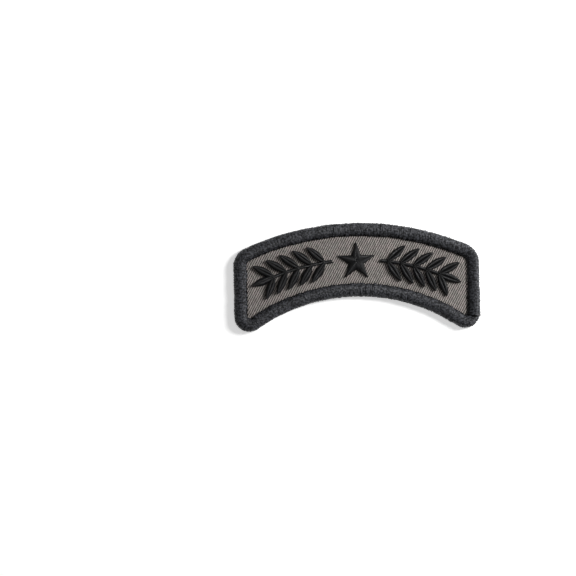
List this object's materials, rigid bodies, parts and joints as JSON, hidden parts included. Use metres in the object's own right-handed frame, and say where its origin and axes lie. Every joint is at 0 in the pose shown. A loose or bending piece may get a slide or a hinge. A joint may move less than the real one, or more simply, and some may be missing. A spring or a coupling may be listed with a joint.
{
  "type": "embroidered rocker patch",
  "caption": "Arched embroidered cloth patch with a thick overlocked border and raised satin-stitch star and laurel sprigs.",
  "frame": {"origin": "middle of the bounding box in plan, on the plane of the border's flat underside", "axes": "+X along the band, to the right seen from the face; +Y in the plane of the patch towards the crown of the arch; +Z out of the embroidered face"},
  "size_m": [0.0888, 0.0386, 0.0034],
  "materials": {
    "twill": "warm grey twill, matt, fine steep diagonal lines",
    "border_thread": "charcoal textured thread, overlocked, slight sheen",
    "satin_thread": "black glossy embroidery thread in satin stitch"
  },
  "bodies": {
    "root": {"twill_ground": "twill", "merrow_border": "border_thread", "centre_star": "satin_thread", "laurel_right": "satin_thread", "laurel_left": "satin_thread"}
  },
  "joints": []
}
